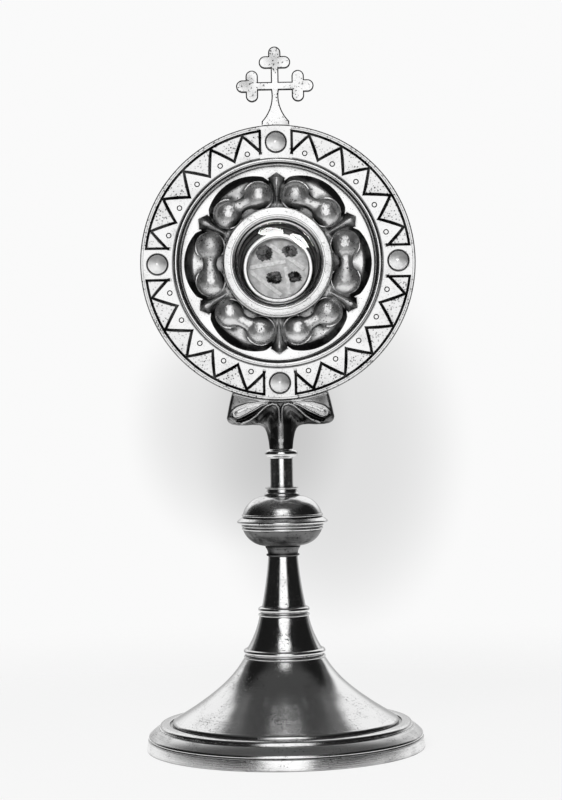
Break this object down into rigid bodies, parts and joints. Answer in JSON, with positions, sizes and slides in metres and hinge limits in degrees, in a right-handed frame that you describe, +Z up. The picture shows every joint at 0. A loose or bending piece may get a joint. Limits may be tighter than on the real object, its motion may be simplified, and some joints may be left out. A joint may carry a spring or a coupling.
{
  "type": "monstrance",
  "caption": "Standing reliquary monstrance: turned round foot and knopped stem, engraved disc with cabochons, glazed relic window with rear door, trefoil cross on top.",
  "frame": {"origin": "centre of the foot's base, on the plane that the foot rests on", "axes": "+Z up along the stem, -Y towards the viewer out of the disc's face, +X to the viewer's right"},
  "size_m": [0.119, 0.119, 0.3],
  "materials": {
    "capsule_glass": "clear flat glass",
    "cotton": "pressed cotton wadding",
    "milky_stone": "milky translucent cabochon, polished",
    "pad_silk": "silk over a padded disc",
    "paper": "plain paper strips with no writing",
    "plain_brass": "plain machined brass",
    "relic_bone": "small dull fragments",
    "sealing_wax": "plain sealing wax with no impression",
    "silk_thread": "silk thread",
    "silvered_casting": "silver plate over a slightly pitted casting",
    "silvered_sheet": "polished silver plate on brass sheet",
    "silvered_turning": "polished silver plate on turned and spun brass",
    "window_glass": "clear domed glass"
  },
  "bodies": {
    "monstrance": {"cabochon_bottom": "milky_stone", "cabochon_left": "milky_stone", "cabochon_right": "milky_stone", "cabochon_top": "milky_stone", "dish_pan": "silvered_sheet", "face_plate": "silvered_sheet", "foot_base_ring": "silvered_turning", "foot_skirt": "silvered_turning", "glass_spring_ring": "silvered_sheet", "hinge_pin": "plain_brass", "housing_hinge_leaf": "silvered_sheet", "knop_belt": "silvered_turning", "knop_bowl_lower": "silvered_turning", "knop_bowl_upper": "silvered_turning", "knop_collar_lower": "silvered_turning", "knop_collar_upper": "silvered_turning", "leaf_bracket": "silvered_casting", "moulding_ring": "silvered_turning", "relic_housing": "silvered_sheet", "rosette": "silvered_casting", "stem_bead": "silvered_turning", "stem_cone_lower": "silvered_turning", "stem_cone_upper": "silvered_turning", "stem_ring_lower": "silvered_turning", "stem_ring_upper": "silvered_turning", "stem_tube": "silvered_turning", "stone_cup_bottom": "silvered_turning", "stone_cup_left": "silvered_turning", "stone_cup_right": "silvered_turning", "stone_cup_top": "silvered_turning", "stud_nuts": "plain_brass", "tension_washer": "plain_brass", "tie_nut": "plain_brass", "tie_rod": "plain_brass", "trefoil_cross": "silvered_casting", "window_bezel": "silvered_turning", "window_glass": "window_glass"},
    "door": {"rear_door": "silvered_sheet", "door_thumb_tab": "silvered_sheet", "door_hinge_leaf": "silvered_sheet"},
    "theca": {"capsule_case": "silvered_turning", "capsule_rim": "silvered_turning", "capsule_glass": "capsule_glass", "relic_pad": "pad_silk", "relic_fragments": "relic_bone", "blank_label_strips": "paper", "packing_disc": "cotton", "capsule_back": "silvered_turning", "seal_thread": "silk_thread", "wax_seal": "sealing_wax"}
  },
  "joints": [
    {"name": "door_hinge", "type": "hinge", "parent": "monstrance", "child": "door", "pos_m": [-0.0214, 0.0161, 0.2075], "axis": [0, 0, 1], "range_deg": [0, 115]},
    {"name": "theca_slide", "type": "slide", "parent": "monstrance", "child": "theca", "axis": [0, 1, 0], "range_m": [0, 0.0145]}
  ],
  "couplings": [
    {"joint": "theca_slide", "follows": "door_hinge", "m_per_rad": 0.0072}
  ]
}
